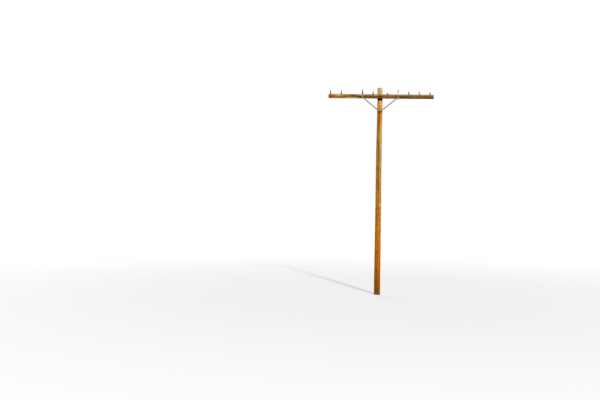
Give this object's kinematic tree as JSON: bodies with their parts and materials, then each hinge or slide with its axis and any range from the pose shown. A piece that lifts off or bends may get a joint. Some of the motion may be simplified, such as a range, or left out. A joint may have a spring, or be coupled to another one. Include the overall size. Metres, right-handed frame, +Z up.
{
  "type": "wooden utility pole",
  "caption": "Old weathered wooden line pole with one crossarm on its front, two flat steel braces in a V and bare insulator pins, some of them broken and one of them missing.",
  "frame": {"origin": "centre of the pole's foot, at ground level", "axes": "+Z up along the pole; X along the crossarm; the crossarm and braces are on the -Y side, the front"},
  "size_m": [3.01, 0.2741, 5.963],
  "materials": {
    "pole_wood": "weathered round timber, bleached at the top, checked along the grain",
    "arm_wood": "weathered sawn timber, split at the ends",
    "pin_wood": "weathered turned hardwood",
    "galvanised_steel": "dull galvanised steel with rust at edges and holes",
    "rusty_iron": "dark brown rust"
  },
  "bodies": {
    "root": {"pole": "pole_wood", "crossarm": "arm_wood", "brace_left": "galvanised_steel", "brace_right": "galvanised_steel", "arm_bolt": "rusty_iron", "arm_bolt_nut": "rusty_iron", "arm_washer_front": "rusty_iron", "arm_washer_back": "rusty_iron", "brace_bolt_left": "rusty_iron", "brace_bolt_right": "rusty_iron", "brace_nut_left": "rusty_iron", "brace_nut_right": "rusty_iron", "brace_washer_left": "rusty_iron", "brace_washer_right": "rusty_iron", "brace_lag_screw": "rusty_iron", "lag_washer": "rusty_iron", "pin_1": "pin_wood", "pin_2": "pin_wood", "pin_4": "pin_wood", "pin_5": "pin_wood", "pin_6": "pin_wood", "pin_8": "pin_wood", "pin_9": "pin_wood", "pin_10": "pin_wood", "steel_pin_7": "galvanised_steel", "steel_pin_nut": "rusty_iron", "steel_pin_washer": "rusty_iron"}
  },
  "joints": []
}
